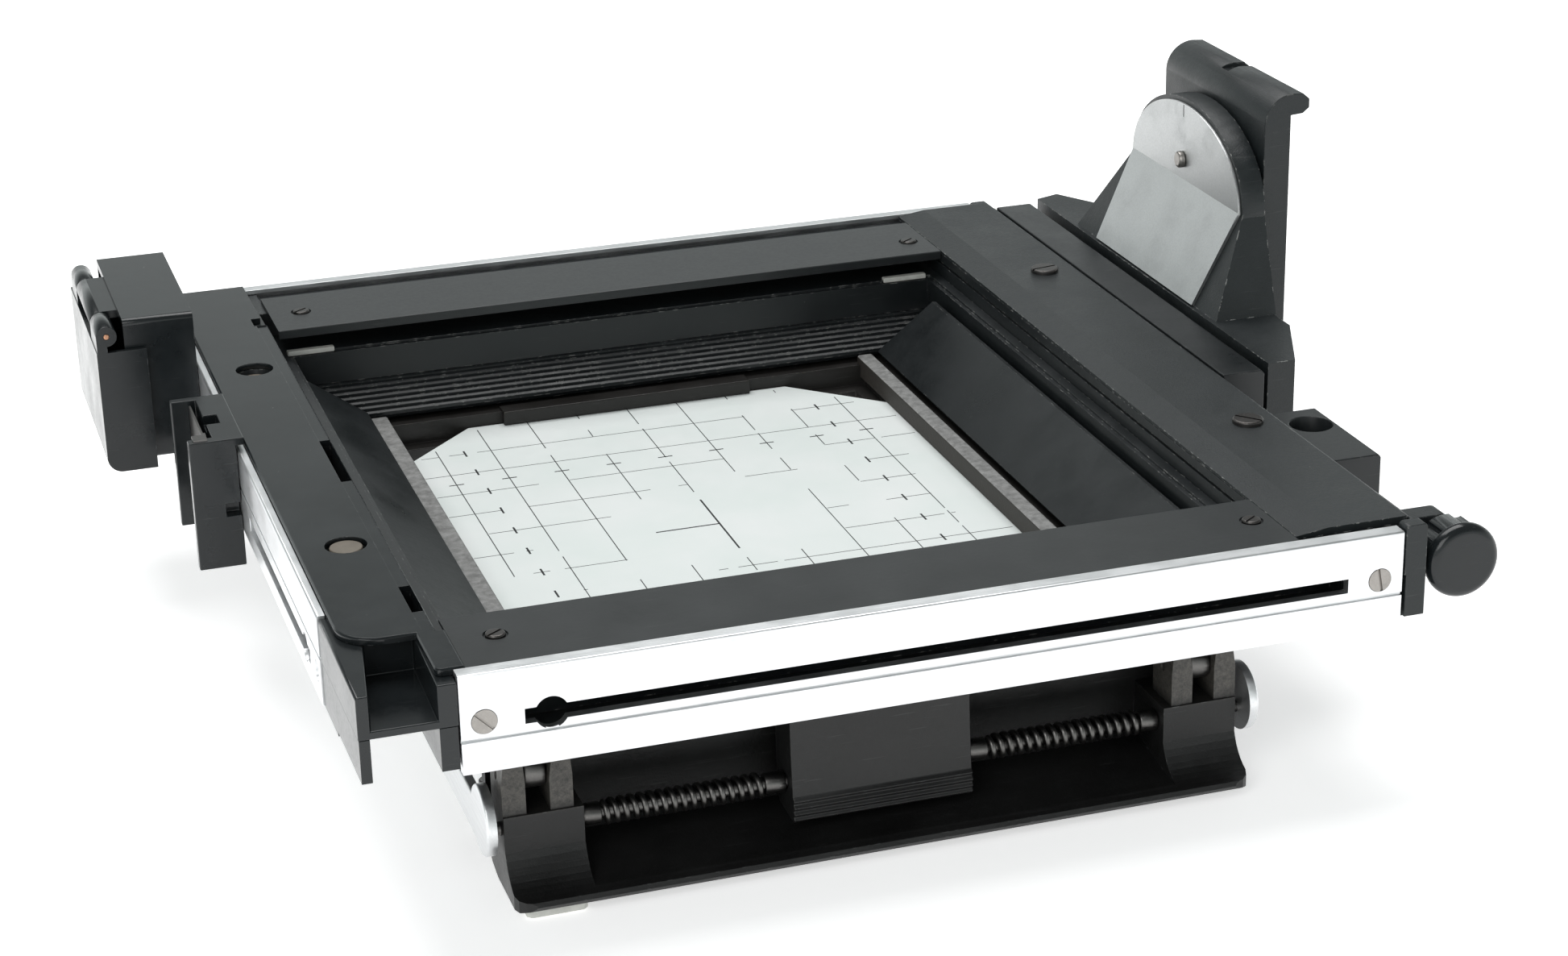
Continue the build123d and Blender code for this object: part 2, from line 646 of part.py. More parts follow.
with BuildPart() as fork_rollers:
    # Turned rollers with stub ends held in the prongs
    for x0, x1 in ((-62.1, -58.4), (58.4, 62.1)):
        rod_x(x0, x1, ROLLER_Y, ROLLER_Z, 2.9)
        rod_x(x0 - 3.9, x1 + 3.6, ROLLER_Y, ROLLER_Z, 0.8)
save(fork_rollers, "fork_rollers")


def pivot_bracket(side):
    """Bracket under the rear frame that carries one bail pivot and stands on the base plane."""
    block(min(side * 60, side * 65.9), max(side * 60, side * 65.9), 68.0, 82.0, BASE_Z, -1.1)
    rod_x(-70, 70, PIVOT_Y, PIVOT_Z, TILT_R, mode=CUT)


with BuildPart() as pivot_bracket_left:
    pivot_bracket(-1)
    chamfer(pivot_bracket_left.edges().filter_by(Axis.X).group_by(Axis.Z)[0], 3.0)
save(pivot_bracket_left, "pivot_bracket_left")

with BuildPart() as pivot_bracket_right:
    pivot_bracket(1)
    chamfer(pivot_bracket_right.edges().filter_by(Axis.X).group_by(Axis.Z)[0], 3.0)
save(pivot_bracket_right, "pivot_bracket_right")

with BuildPart() as pivot_screws:
    for side in (-1, 1):
        rod_x(min(side * 60.2, side * 70.2), max(side * 60.2, side * 70.2), PIVOT_Y, PIVOT_Z, TILT_R)
        rod_x(min(side * 70.1, side * 71.8), max(side * 70.1, side * 71.8), PIVOT_Y, PIVOT_Z, 3.6)
        screw_slot(side * 71.8, PIVOT_Y, PIVOT_Z, "x", 8, 30 * side)
save(pivot_screws, "pivot_screws")

with BuildPart() as lifter_pins:
    for side in (-1, 1):
        rod_x(min(side * 61.2, side * 67.9), max(side * 61.2, side * 67.9), 0, PIVOT_Z, 2.1)
        rod_x(min(side * 67.9, side * ARM_BLIND), max(side * 67.9, side * ARM_BLIND), 0, PIVOT_Z, 1.4)
save(lifter_pins, "lifter_pins")

# ---------------------------------------------------------------- tilt bracket

with BuildPart() as hinge_bar:
    block(94.6, 103.5, -21.7, 98.0, 5.9, 23.0)
    chamfer(hinge_bar.edges().filter_by(Axis.Y).group_by(Axis.Z)[-1].sort_by(Axis.X)[-1], 0.8)
    for ear_y0, ear_y1 in ((-8.0, 4.0), (78.0, 90.0)):
        block(103.4, TILT_X, ear_y0, ear_y1, TILT_Z - 4.2, TILT_Z + 4.2)
        rod_y(ear_y0, ear_y1, TILT_X, TILT_Z, 4.2)
    rod_y(-20, 100, TILT_X, TILT_Z, TILT_R + RUN, mode=CUT)
save(hinge_bar, "hinge_bar")

with BuildPart() as yoke:
    # Foot: a thick plate with a hanging wall that holds the hinge pin
    plate_z(
        [(105.0, -20.0), (110.8, -20.0), (119.0, -1.0), (119.0, 86.0), (110.5, 101.0), (105.0, 99.0)],
        18.0,
        23.5,
    )
    plate_z([(105.0, -20.0), (110.8, -20.0), (111.2, 40.0), (110.8, 99.5), (105.0, 99.0)], 7.6, 18.1)
    # Sloped pedestal and the arched plate behind it
    with BuildSketch(Plane.YZ.offset(ARCH_X0)) as arch:
        with Locations((ARCH_MID_Y, 43.0)):
            Ellipse(27.2, 17.4)
        with BuildLine():
            Polyline((12.6, 20.0), (12.8, 43.0), (67.2, 43.0), (67.6, 20.0), close=True)
        make_face()
    extrude(arch.sketch, amount=ARCH_X1 - ARCH_X0)
    with BuildSketch(Plane.XY.offset(23.4)) as pedestal_base:
        with Locations((112.7, 42.0)):
            Rectangle(13.4, 72.0)
    with BuildSketch(Plane.XY.offset(43.0)) as pedestal_top:
        with Locations((117.0, ARCH_MID_Y)):
            Rectangle(4.8, 54.0)
    loft([pedestal_base.sketch.face(), pedestal_top.sketch.face()], ruled=True)
    for ear_y0, ear_y1 in ((-8.0, 4.0), (78.0, 90.0)):
        rod_y(ear_y0 - 0.35, ear_y1 + 0.35, TILT_X, TILT_Z, 4.6, mode=CUT)
        block(100, TILT_X, ear_y0 - 0.35, ear_y1 + 0.35, 0, TILT_Z + 4.9, mode=CUT)
    rod_y(-18.5, 97.5, TILT_X, TILT_Z, TILT_R, mode=CUT)
    rod_x(100, 125, SWING_Y, SWING_Z, SWING_R + RUN, mode=CUT)
save(yoke, "yoke")

with BuildPart() as tilt_pin:
    rod_y(-18.4, 97.4, TILT_X, TILT_Z, TILT_R)
save(tilt_pin, "tilt_pin")

with BuildPart() as index_plate:
    with BuildSketch(Plane.YZ.offset(ARCH_X0 - 0.65)) as arch_face:
        with Locations((ARCH_MID_Y, 43.0)):
            Ellipse(26.4, 16.4)
        with Locations((ARCH_MID_Y, 33.0)):
            Rectangle(60.0, 20.0, mode=CUT)
    extrude(arch_face.sketch, amount=0.6)
    prism_y([(105.45, 23.86), (106.05, 23.6), (114.45, 42.8), (114.45, 43.3), (113.85, 43.3)], 13.6, 66.2)
    prism_x([(12.0, 22.0), (17.0, 22.0), (13.7, 43.0), (12.0, 43.0)], 104, 116, mode=CUT)
    rod_x(100, 125, SWING_Y, SWING_Z, SWING_R + 0.1, mode=CUT)
save(index_plate, "index_plate")

with BuildPart() as bearer_plate:
    with BuildSketch(Plane.XZ.offset(-64.5)) as bearer_outline:
        with BuildLine():
            Polyline((120.4, 60.1), (120.4, 17.0), (126.2, 17.0), (126.2, 61.9), (128.8, 62.1))
            Polyline((128.8, 62.1), (130.2, 63.2), (130.2, 65.0), (128.8, 66.2), (126.5, 66.4))
            Line((126.5, 66.4), (126.0, 66.4))
            RadiusArc((126.0, 66.4), (120.4, 60.1), -6.0)
        make_face()
    extrude(bearer_outline.sketch, amount=48.5)
    # Small notch across the top lip
    block(123.5, 131.0, 40.2, 43.4, 65.3, 68.0, mode=CUT)
    rod_x(118, 128, SWING_Y, SWING_Z, SWING_R, mode=CUT)
save(bearer_plate, "bearer_plate")

with BuildPart() as swing_washer:
    rod_x(ARCH_X1 + 0.1, 120.35, SWING_Y, SWING_Z, 8.0)
    rod_x(118, 128, SWING_Y, SWING_Z, SWING_R, mode=CUT)
save(swing_washer, "swing_washer")

with BuildPart() as swing_rivet:
    rod_x(113.0, 126.0, SWING_Y, SWING_Z, SWING_R)
    rod_x(112.5, 113.75, SWING_Y, SWING_Z, 1.75)
    fillet(swing_rivet.faces().sort_by(Axis.X)[0].edges(), 0.6)
save(swing_rivet, "swing_rivet")

# ---------------------------------------------------------------- rod block and thumbscrew

with BuildPart() as clamp_block:
    block(94.6, 105.8, -65.5, -39.5, 6.0, 21.0)
    rod_z(0, 30, ROD_X, ROD_Y, ROD_R, mode=CUT)
    chamfer(clamp_block.edges().filter_by(Axis.Y).group_by(Axis.Z)[-1].sort_by(Axis.X)[-1], 0.6)
save(clamp_block, "clamp_block")

with BuildPart() as knob:
    # Domed disc, notched hub and stem
    rod_y(FRONT_Y, FRONT_Y + 2.6, KNOB_X, KNOB_Z, KNOB_R)
    fillet(knob.edges().filter_by(GeomType.CIRCLE).group_by(Axis.Y)[0], 1.7)
    fillet(knob.edges().filter_by(GeomType.CIRCLE).group_by(Axis.Y)[-1], 0.6)
    rod_y(FRONT_Y + 2.5, -96.0, KNOB_X, KNOB_Z, 6.1)
    for notch in range(6):
        turn = radians(60 * notch + 12)
        rod_y(FRONT_Y + 2.6, -95, KNOB_X + 7.2 * cos(turn), KNOB_Z + 7.2 * sin(turn), 1.7, mode=CUT)
    rod_y(-96.1, -92.0, KNOB_X, KNOB_Z, 3.2)
    rod_y(FRONT_Y + 4, -90, KNOB_X, KNOB_Z, STUD_R, mode=CUT)
save(knob, "knob")

with BuildPart() as knob_spindle:
    rod_y(FRONT_Y + 4, -84.4, KNOB_X, KNOB_Z, STUD_R)
    chamfer(knob_spindle.edges().filter_by(GeomType.CIRCLE).group_by(Axis.Y)[-1], 0.4)
save(knob_spindle, "knob_spindle")

# ---------------------------------------------------------------- hinged box

with BuildPart() as box_body:
    block(-105.9, -92.1, 58.0, 100.0, 4.5, 34.0)
    block(-107.0, -93.8, 59.6, 98.4, 6.0, 32.6, mode=CUT)
    # Middle knuckle, joined by the roof
    block(HINGE_X, -104.0, 66.5, 89.0, 32.0, HINGE_Z + KNUCKLE_R)
    rod_y(66.5, 89.0, HINGE_X, HINGE_Z, KNUCKLE_R)
    rod_y(60, 96, HINGE_X, HINGE_Z, 0.6 + RUN, mode=CUT)
    fillet(box_body.edges().filter_by(Axis.X).group_by(Axis.Z)[-1].sort_by(Axis.Y)[0], 1.2)
    fillet(box_body.edges().filter_by(Axis.X).group_by(Axis.Z)[0].sort_by(Axis.Y)[0], 1.2)
save(box_body, "box_body")

with BuildPart() as box_lid:
    block(-111.6, -101.8, 56.4, 101.6, 3.0, 28.2)
    block(-110.3, -90.0, 57.6, 100.4, 4.2, 40.0, mode=CUT)
    fillet(box_lid.edges().filter_by(Axis.Y).sort_by_distance((-111.6, 80, 3.0))[0], 3.0)
    for knuckle_y0, knuckle_y1 in ((56.4, 66.1), (89.4, 99.0)):
        block(-111.45, HINGE_X, knuckle_y0, knuckle_y1, 27.9, HINGE_Z)
        block(-111.45, -110.3, knuckle_y0, knuckle_y1, 27.0, HINGE_Z)
        rod_y(knuckle_y0, knuckle_y1, HINGE_X, HINGE_Z, KNUCKLE_R)
    rod_y(50, 110, HINGE_X, HINGE_Z, 0.6, mode=CUT)
save(box_lid, "box_lid")

with BuildPart() as box_pin:
    rod_y(56.3, 98.9, HINGE_X, HINGE_Z, 0.6)
save(box_pin, "box_pin")

# ---------------------------------------------------------------- accessory shoe

with BuildPart() as shoe_body:
    block(-100.9, -92.1, 8.5, 34.0, -0.5, 25.0)
    block(-92.2, -90.6, 8.5, 34.0, 23.5, 25.0)
    block(-102.0, -96.2, 10.8, 32.0, -5.0, 30.0, mode=CUT)
    # Square window in the top and square notch in the near wall
    block(-96.3, -93.6, 18.0, 22.8, 23.0, 30.0, mode=CUT)
    block(-95.0, -92.0, 8.0, 10.9, 9.7, 12.2, mode=CUT)
save(shoe_body, "shoe_body")

with BuildPart() as shoe_spring:
    prism_x([(11.4, 24.2), (31.4, 24.2), (31.4, 2.0), (11.4, 2.0)], -97.6, -97.2)
    block(-97.3, -96.3, 20.0, 23.0, 6.0, 10.0)
    block(-99.9, -97.3, 8.9, 11.8, 25.0, 25.35)
    block(-97.6, -97.2, 11.0, 12.6, 22.0, 25.35)
save(shoe_spring, "shoe_spring")

# ---------------------------------------------------------------- fasteners

with BuildPart() as rail_screws:
    for side in (-1, 1):
        face = FRONT_Y if side < 0 else BACK_Y
        for screw_x in (-71.6, 85.6):
            near, mid, far = face + side * 0.1, face - side * 0.7, face - side * 8.5
            rod_y(min(near, mid), max(near, mid), screw_x, 14.6, 2.1)
            rod_y(min(mid, far), max(mid, far), screw_x, 14.6, 1.0)
            screw_slot(screw_x, near, 14.6, "y", 5, 45 if screw_x < 0 else 80)
save(rail_screws, "rail_screws")

with BuildPart() as plate_screws:
    for screw_x, screw_y in PLATE_SCREWS:
        rod_z(22.35, 23.1, screw_x, screw_y, 1.7)
    fillet(plate_screws.edges().filter_by(GeomType.CIRCLE).group_by(Axis.Z)[-1], 0.35)
    for screw_x, screw_y in PLATE_SCREWS:
        rod_z(19.5, 22.4, screw_x, screw_y, 0.9)
        screw_slot(screw_x, screw_y, 23.3, "z", 4, 35)
save(plate_screws, "plate_screws")

with BuildPart() as cover_screws:
    for (screw_x, screw_y), turn in zip(COVER_SCREWS, (10, -50)):
        rod_z(19.5, 23.5, screw_x, screw_y, 1.3)
        rod_z(23.4, 24.3, screw_x, screw_y, 2.9)
        screw_slot(screw_x, screw_y, 24.3, "z", 8, turn)
    fillet(cover_screws.edges().filter_by(GeomType.CIRCLE).group_by(Axis.Z)[-1], 0.4)
save(cover_screws, "cover_screws")

with BuildPart() as cover_plugs:
    for plug_y, plug_top in zip(PLUG_YS, (21.3, 23.0)):
        rod_z(16.0, plug_top, -81.9, plug_y, 2.9)
save(cover_plugs, "cover_plugs")
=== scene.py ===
"""Looks of the view camera back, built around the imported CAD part."""

import json
import math

import bpy
from mathutils import Matrix, Vector


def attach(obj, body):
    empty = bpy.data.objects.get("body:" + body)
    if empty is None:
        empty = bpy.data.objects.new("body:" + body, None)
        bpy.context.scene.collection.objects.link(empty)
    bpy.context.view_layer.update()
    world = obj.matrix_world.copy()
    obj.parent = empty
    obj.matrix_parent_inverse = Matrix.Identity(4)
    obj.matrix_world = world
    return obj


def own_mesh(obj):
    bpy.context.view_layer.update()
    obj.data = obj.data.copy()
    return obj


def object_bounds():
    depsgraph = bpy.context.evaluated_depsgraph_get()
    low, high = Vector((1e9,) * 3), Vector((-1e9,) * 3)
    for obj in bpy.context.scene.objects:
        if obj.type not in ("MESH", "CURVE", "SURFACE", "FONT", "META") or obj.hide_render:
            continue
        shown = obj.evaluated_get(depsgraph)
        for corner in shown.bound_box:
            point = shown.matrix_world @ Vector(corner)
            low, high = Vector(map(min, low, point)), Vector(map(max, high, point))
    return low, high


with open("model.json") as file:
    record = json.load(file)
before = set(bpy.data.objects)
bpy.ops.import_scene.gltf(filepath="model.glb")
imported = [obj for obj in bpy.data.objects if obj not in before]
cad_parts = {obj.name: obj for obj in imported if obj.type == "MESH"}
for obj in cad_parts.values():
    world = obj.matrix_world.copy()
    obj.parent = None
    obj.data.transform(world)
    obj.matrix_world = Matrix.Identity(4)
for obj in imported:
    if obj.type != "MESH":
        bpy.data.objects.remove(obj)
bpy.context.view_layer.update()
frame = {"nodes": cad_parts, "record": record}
nodes = frame["nodes"]
MM = 0.001


# ---------------------------------------------------------------- materials


class Look:
    """A principled material with short helpers for procedural detail. Sizes are in millimetres."""

    def __init__(self, name, color, rough, metallic=0.0, ior=1.45):
        self.mat = bpy.data.materials.new(name)
        self.mat.use_nodes = True
        tree = self.mat.node_tree
        self.nodes, self.links = tree.nodes, tree.links
        self.shader = self.nodes["Principled BSDF"]
        self.set("Base Color", (*color, 1))
        self.set("Roughness", rough)
        self.set("Metallic", metallic)
        self.set("IOR", ior)
        self.coord = self.nodes.new("ShaderNodeTexCoord").outputs["Object"]
        self.normal = None

    def set(self, socket, value):
        if hasattr(value, "node"):
            self.links.new(value, self.shader.inputs[socket])
        else:
            self.shader.inputs[socket].default_value = value

    def _put(self, socket, value):
        if hasattr(value, "node"):
            self.links.new(value, socket)
        else:
            socket.default_value = value

    def placed(self, size, stretch=(1, 1, 1), shift=(0, 0, 0)):
        """Object coordinates scaled so that one unit is size millimetres."""
        mapping = self.nodes.new("ShaderNodeMapping")
        mapping.inputs["Scale"].default_value = [s / (size * MM) for s in stretch]
        mapping.inputs["Location"].default_value = shift
        self.links.new(self.coord, mapping.inputs["Vector"])
        return mapping.outputs["Vector"]

    def noise(self, size, detail=2.0, rough=0.5, stretch=(1, 1, 1), shift=(0, 0, 0)):
        node = self.nodes.new("ShaderNodeTexNoise")
        node.inputs["Scale"].default_value = 1.0
        node.inputs["Detail"].default_value = detail
        node.inputs["Roughness"].default_value = rough
        self.links.new(self.placed(size, stretch, shift), node.inputs["Vector"])
        return node.outputs["Fac"]

    def cells(self, size, feature="F1", stretch=(1, 1, 1), shift=(0, 0, 0)):
        node = self.nodes.new("ShaderNodeTexVoronoi")
        node.feature = feature
        node.inputs["Scale"].default_value = 1.0
        self.links.new(self.placed(size, stretch, shift), node.inputs["Vector"])
        return node.outputs["Distance"]

    def span(self, value, low, high, to_low=0.0, to_high=1.0):
        node = self.nodes.new("ShaderNodeMapRange")
        for key, number in (("From Min", low), ("From Max", high), ("To Min", to_low), ("To Max", to_high)):
            node.inputs[key].default_value = number
        self._put(node.inputs["Value"], value)
        return node.outputs["Result"]

    def math(self, kind, a, b=0.0):
        node = self.nodes.new("ShaderNodeMath")
        node.operation = kind
        self._put(node.inputs[0], a)
        self._put(node.inputs[1], b)
        return node.outputs[0]

    def mix(self, fac, a, b):
        node = self.nodes.new("ShaderNodeMix")
        node.data_type = "RGBA"
        self._put(node.inputs[0], fac)
        self._put(node.inputs[6], a if hasattr(a, "node") else (*a, 1))
        self._put(node.inputs[7], b if hasattr(b, "node") else (*b, 1))
        return node.outputs[2]

    def along(self, axis):
        """Object coordinate along one axis, in millimetres."""
        node = self.nodes.new("ShaderNodeSeparateXYZ")
        self.links.new(self.coord, node.inputs[0])
        return self.math("MULTIPLY", node.outputs["XYZ".index(axis)], 1 / MM)

    def facing(self, axis):
        """Component of the surface normal along one axis."""
        geometry = self.nodes.new("ShaderNodeNewGeometry")
        node = self.nodes.new("ShaderNodeSeparateXYZ")
        self.links.new(geometry.outputs["Normal"], node.inputs[0])
        return node.outputs["XYZ".index(axis)]

    def bump(self, height, depth, strength=1.0):
        node = self.nodes.new("ShaderNodeBump")
        node.inputs["Distance"].default_value = depth * MM
        node.inputs["Strength"].default_value = strength
        self.links.new(height, node.inputs["Height"])
        if self.normal is not None:
            self.links.new(self.normal, node.inputs["Normal"])
        self.normal = node.outputs["Normal"]
        self.set("Normal", self.normal)

    def edges(self, radius, low=0.006, high=0.1):
        """Mask of sharp edges, from how far a rounded normal leans from the true one."""
        bevel = self.nodes.new("ShaderNodeBevel")
        bevel.samples = 6
        bevel.inputs["Radius"].default_value = radius * MM
        geometry = self.nodes.new("ShaderNodeNewGeometry")
        dot = self.nodes.new("ShaderNodeVectorMath")
        dot.operation = "DOT_PRODUCT"
        self.links.new(bevel.outputs["Normal"], dot.inputs[0])
        self.links.new(geometry.outputs["Normal"], dot.inputs[1])
        lean = self.math("SUBTRACT", 1.0, dot.outputs["Value"])
        return self.span(lean, low, high)

    def over(self, mask, color):
        """Lays a colour over what the material already shows, where the mask is 1."""
        under = self.shader.inputs["Base Color"].links[0].from_socket
        self.set("Base Color", self.mix(mask, under, color))

    def specks(self, size, radius, share, shift=(0, 0, 0)):
        """Mask of scattered dust specks: dots of that radius, kept in that share of the cells."""
        dots = self.span(self.cells(size, shift=shift), radius / size, radius / size * 0.4)
        keep = self.span(self.noise(size * 3, 1, shift=shift), 1 - share, 1 - share + 0.05)
        return self.math("MULTIPLY", dots, keep)


def painted(
    name,
    color,
    rough,
    grain=0.0,
    grain_size=0.5,
    worn=0.35,
    dust=0.4,
    patchy=0.08,
    wear_color=(0.28, 0.29, 0.29),
):
    """Black paint or anodising on metal: uneven sheen, dust, fine scratches and rubbed edges."""
    look = Look(name, color, rough)
    patches = look.noise(14, 4, 0.6)
    fine = look.noise(0.9, 3, 0.6)
    scratches = look.span(look.noise(0.5, 2, 0.6, stretch=(0.05, 1, 1), shift=(3, 1, 2)), 0.66, 0.72)
    roughness = look.span(patches, 0.3, 0.7, rough - patchy, rough + patchy)
    roughness = look.math("ADD", roughness, look.span(fine, 0.3, 0.7, -0.03, 0.03))
    look.set("Roughness", roughness)
    tone = look.mix(look.span(patches, 0.35, 0.7), color, [c * 1.35 + 0.002 for c in color])
    tone = look.mix(look.math("MULTIPLY", scratches, 0.12), tone, (0.12, 0.12, 0.12))
    if dust:
        large = look.math("MULTIPLY", look.specks(5.5, 0.13, 0.5), dust)
        small = look.math("MULTIPLY", look.specks(2.4, 0.06, 0.45, (2, 5, 1)), dust)
        tone = look.mix(large, tone, (0.5, 0.5, 0.48))
        tone = look.mix(small, tone, (0.4, 0.4, 0.38))
    if worn:
        broken = look.span(look.noise(1.6, 4, 0.7, shift=(5, 2, 8)), 0.5 + 0.12 * (1 - worn), 0.62)
        rubbed = look.math("MULTIPLY", look.edges(0.35), broken)
        tone = look.mix(look.math("MULTIPLY", rubbed, worn), tone, wear_color)
    look.set("Base Color", tone)
    if grain:
        look.bump(look.noise(grain_size, 3, 0.65), grain)
    look.bump(look.noise(6, 3, 0.5, shift=(1, 1, 1)), 0.02, 0.6)
    return look


def metal(name, color, rough, stretch, worn=0.3, grain=0.004):
    """Bare or anodised metal with a brushed grain along the stretched direction, stains and dark specks."""
    look = Look(name, color, rough, metallic=1.0)
    grain_noise = look.noise(0.35, 4, 0.7, stretch=stretch)
    stains = look.noise(9, 5, 0.65, shift=(4, 0, 1))
    roughness = look.span(grain_noise, 0.25, 0.75, rough - 0.08, rough + 0.1)
    roughness = look.math("ADD", roughness, look.span(stains, 0.45, 0.75, 0.0, 0.12))
    look.set("Roughness", roughness)
    dark = [c * 0.72 for c in color]
    tone = look.mix(look.span(grain_noise, 0.3, 0.7, 0.0, 0.35), color, dark)
    tone = look.mix(look.span(stains, 0.58, 0.8, 0.0, worn), tone, [c * 0.45 for c in color])
    tone = look.mix(look.math("MULTIPLY", look.specks(7, 0.2, 0.35), 0.7), tone, (0.06, 0.05, 0.045))
    look.set("Base Color", tone)
    look.bump(grain_noise, grain)
    return look


frame_black = painted(
    "frame_black",
    (0.009, 0.011, 0.012),
    0.36,
    grain=0.004,
    worn=0.6,
    wear_color=(0.4, 0.4, 0.38),
)
gloss_black = painted("gloss_black", (0.008, 0.010, 0.011), 0.2, worn=0.3, dust=0.6, patchy=0.05)
plate_black = painted("plate_black", (0.013, 0.015, 0.016), 0.34, worn=0.15, dust=0.35, patchy=0.03)
crinkle_black = painted(
    "crinkle_black",
    (0.009, 0.012, 0.013),
    0.44,
    grain=0.05,
    grain_size=0.38,
    worn=0.7,
    dust=0.5,
    wear_color=(0.5, 0.5, 0.48),
)
bail_black = painted(
    "bail_black",
    (0.008, 0.008, 0.008),
    0.38,
    grain=0.05,
    grain_size=0.55,
    worn=0.3,
    dust=0.5,
)


# Where the prongs of the bail's fork are rubbed, in millimetres: above, in front of and outside of these
PRONG_Z = -11.5
PRONG_Y = -79.5
PRONG_X = 50


def rub_prongs(look):
    """Wears the fork prongs down to a rough beige grey."""
    mask = look.span(look.along("Z"), PRONG_Z, PRONG_Z + 2.5)
    mask = look.math("MULTIPLY", mask, look.span(look.along("Y"), PRONG_Y, PRONG_Y - 1))
    away = look.math("ABSOLUTE", look.along("X"))
    mask = look.math("MULTIPLY", mask, look.span(away, PRONG_X, PRONG_X + 1))
    mask = look.math("MULTIPLY", mask, look.span(look.noise(0.7, 5, 0.75), 0.25, 0.75))
    look.over(mask, (0.11, 0.102, 0.09))


rub_prongs(bail_black)

carrier_black = painted(
    "carrier_black",
    (0.011, 0.010, 0.009),
    0.42,
    grain=0.03,
    grain_size=0.8,
    worn=0.4,
    dust=0.6,
    wear_color=(0.2, 0.17, 0.13),
)
rail_metal = metal("rail_metal", (0.86, 0.87, 0.88), 0.34, (0.04, 1, 1))
side_metal = metal("side_metal", (0.84, 0.85, 0.86), 0.36, (1, 0.04, 1))
index_metal = metal("index_metal", (0.55, 0.56, 0.56), 0.42, (1, 1, 1), worn=0.1)
worn_steel = metal("worn_steel", (0.15, 0.145, 0.14), 0.32, (1, 1, 1), worn=0.7)
screw_steel = metal("screw_steel", (0.36, 0.34, 0.32), 0.36, (1, 1, 1), worn=0.6)
dark_screw = metal("dark_screw", (0.09, 0.085, 0.082), 0.34, (1, 1, 1), worn=0.4)
copper = metal("copper", (0.55, 0.30, 0.19), 0.34, (1, 1, 1), worn=0.6)


def rough_bar_look():
    look = Look("grey_bar", (0.2, 0.198, 0.195), 0.62)
    blotches = look.noise(1.6, 5, 0.7)
    tone = look.mix(look.span(blotches, 0.35, 0.7), (0.14, 0.14, 0.137), (0.3, 0.3, 0.295))
    # Pale only on the top, partly from wear and partly as painted sheen; the upright sides stay dark
    tone = look.mix(look.span(look.facing("Z"), 0.5, 0.8), (0.03, 0.026, 0.022), tone)
    tone = look.mix(look.span(look.noise(0.7, 4, 0.7, shift=(3, 3, 3)), 0.66, 0.8), tone, (0.07, 0.065, 0.06))
    look.set("Base Color", tone)
    look.bump(look.noise(0.8, 4, 0.7), 0.05)
    return look


grey_bar = rough_bar_look()


def glass_look():
    look = Look("ground_glass", (0.80, 0.85, 0.83), 0.3, ior=1.5)
    clouds = look.noise(22, 3, 0.5)
    look.set("Base Color", look.mix(look.span(clouds, 0.35, 0.7), (0.78, 0.835, 0.815), (0.84, 0.87, 0.86)))
    look.set("Roughness", look.span(look.noise(3, 4, 0.6), 0.3, 0.7, 0.30, 0.40))
    look.bump(look.noise(0.12, 2, 0.6), 0.003)
    return look


glass = glass_look()


def plain(name, color, rough):
    look = Look(name, color, rough)
    blotches = look.span(look.noise(2.5, 4, 0.65), 0.35, 0.7)
    look.set("Base Color", look.mix(blotches, color, [c * 0.8 for c in color]))
    look.bump(look.noise(0.5, 3, 0.6), 0.01)
    return look


# The pale colour of the corner tabs on the ledge is a painted highlight, standing for the lit top face of a
# step in the ledge there
pale_plastic = plain("pale_plastic", (0.62, 0.62, 0.58), 0.5)
plug_brown = plain("plug_brown", (0.17, 0.145, 0.115), 0.45)
ink = plain("ink", (0.02, 0.022, 0.024), 0.5)

LOOK_OF_SLOT = {
    "frame_black": frame_black,
    "gloss_black": gloss_black,
    "satin_black_plate": plate_black,
    "crinkle_black": crinkle_black,
    "silver_aluminium": rail_metal,
    "index_metal": index_metal,
    "carrier_black": carrier_black,
    "grey_bar": grey_bar,
    "ground_glass": glass,
    "bail_black": bail_black,
    "worn_steel": worn_steel,
    "dark_screw": dark_screw,
    "bright_rivet": screw_steel,
    "steel_screw": screw_steel,
    "pale_plastic": pale_plastic,
    "copper_pin": copper,
}
SIDE_GRAIN = ("left_rail", "bail_arm_left", "bail_arm_right")
LOOK_OF_NODE = {name: side_metal for name in SIDE_GRAIN}
LOOK_OF_NODE["cover_plugs"] = plug_brown

slot_of = {row["node"]: row["material_slot"] for row in frame["record"]["subparts"]}


WELD_GAP = 0.002
FLAT_ANGLE = 0.4
EDGE_ANGLE = 38


def soften(obj, width):
    """Breaks the sharp edges of a CAD piece so that they catch light."""
    weld = obj.modifiers.new("weld", "WELD")
    weld.merge_threshold = WELD_GAP * MM
    flat = obj.modifiers.new("flat", "DECIMATE")
    flat.decimate_type = "DISSOLVE"
    flat.angle_limit = math.radians(FLAT_ANGLE)
    bevel = obj.modifiers.new("bevel", "BEVEL")
    bevel.width = width * MM
    bevel.segments = 2
    bevel.limit_method = "ANGLE"
    bevel.angle_limit = math.radians(EDGE_ANGLE)
    bevel.harden_normals = True
    bevel.use_clamp_overlap = True


# Edge rounding in millimetres, where it isn't the usual one
USUAL_EDGE = 0.25
EDGE_WIDTH = {
    "bail_bar": 0.5,
    "yoke": 0.5,
    "bearer_plate": 0.35,
    "box_body": 0.6,
    "box_lid": 0.5,
}
SHARP = (
    "carrier_springs",
    "spring_left",
    "spring_right",
    "knob_spindle",
    "rail_screws",
    "plate_screws",
    "cover_screws",
    "pivot_screws",
)

